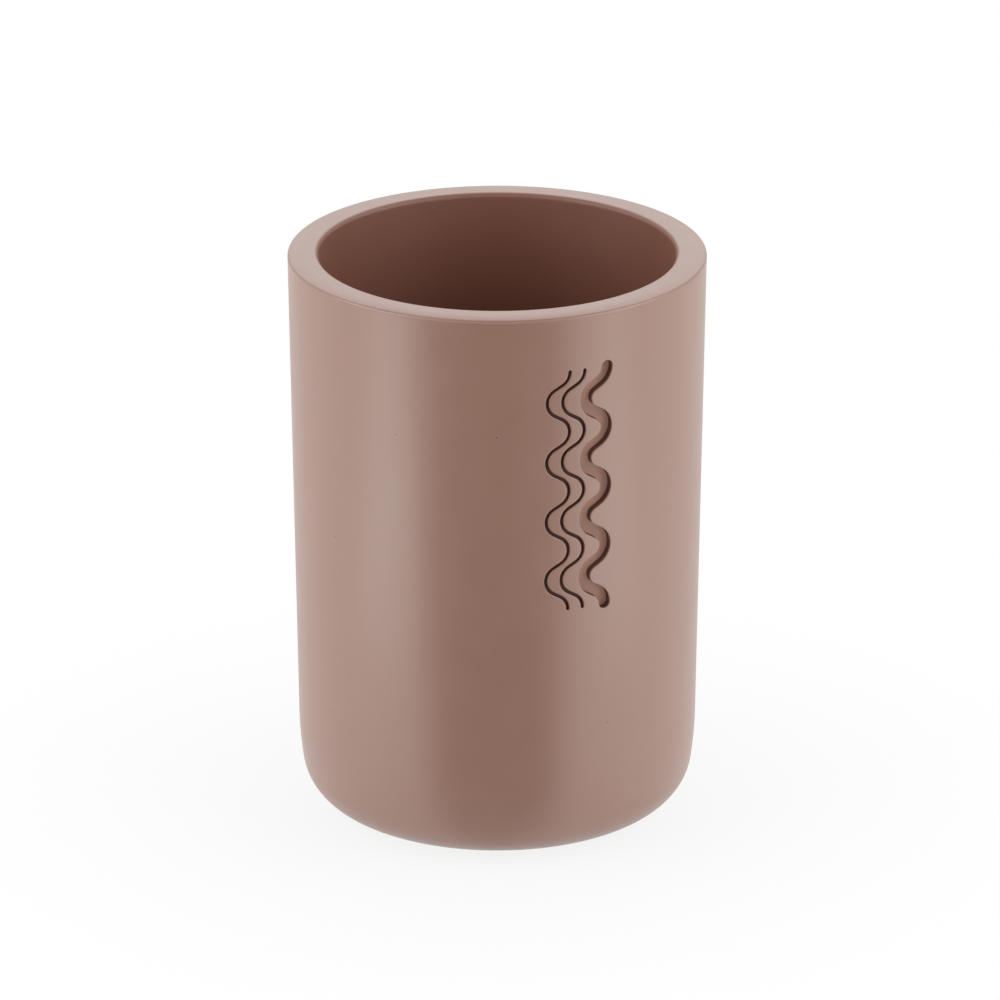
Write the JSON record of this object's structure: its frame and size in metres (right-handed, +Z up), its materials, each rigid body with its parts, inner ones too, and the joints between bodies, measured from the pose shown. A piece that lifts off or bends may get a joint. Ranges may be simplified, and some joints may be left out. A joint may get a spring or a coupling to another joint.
{
  "type": "bathroom tumbler",
  "caption": "Thick-walled cast resin bathroom tumbler with a broad, softly crowned rim, slightly tapered wall, rounded heel and sunk ripple lines, standing on stick-on feet.",
  "frame": {"origin": "centre of the surface that the tumbler stands on, on the cup's axis, level with the underside of the feet", "axes": "+Z up along the cup's axis towards the rim; -Y is the front, the side of the wall with the sunk ripples"},
  "size_m": [0.075, 0.075, 0.1055],
  "materials": {
    "cast_resin": "satin",
    "foot_urethane": "satin",
    "foot_adhesive": "matte"
  },
  "bodies": {
    "root": {"cup_body": "cast_resin", "foot_front_right": "foot_urethane", "foot_back_right": "foot_urethane", "foot_back_left": "foot_urethane", "foot_front_left": "foot_urethane", "foot_tape_front_right": "foot_adhesive", "foot_tape_back_right": "foot_adhesive", "foot_tape_back_left": "foot_adhesive", "foot_tape_front_left": "foot_adhesive"}
  },
  "joints": []
}
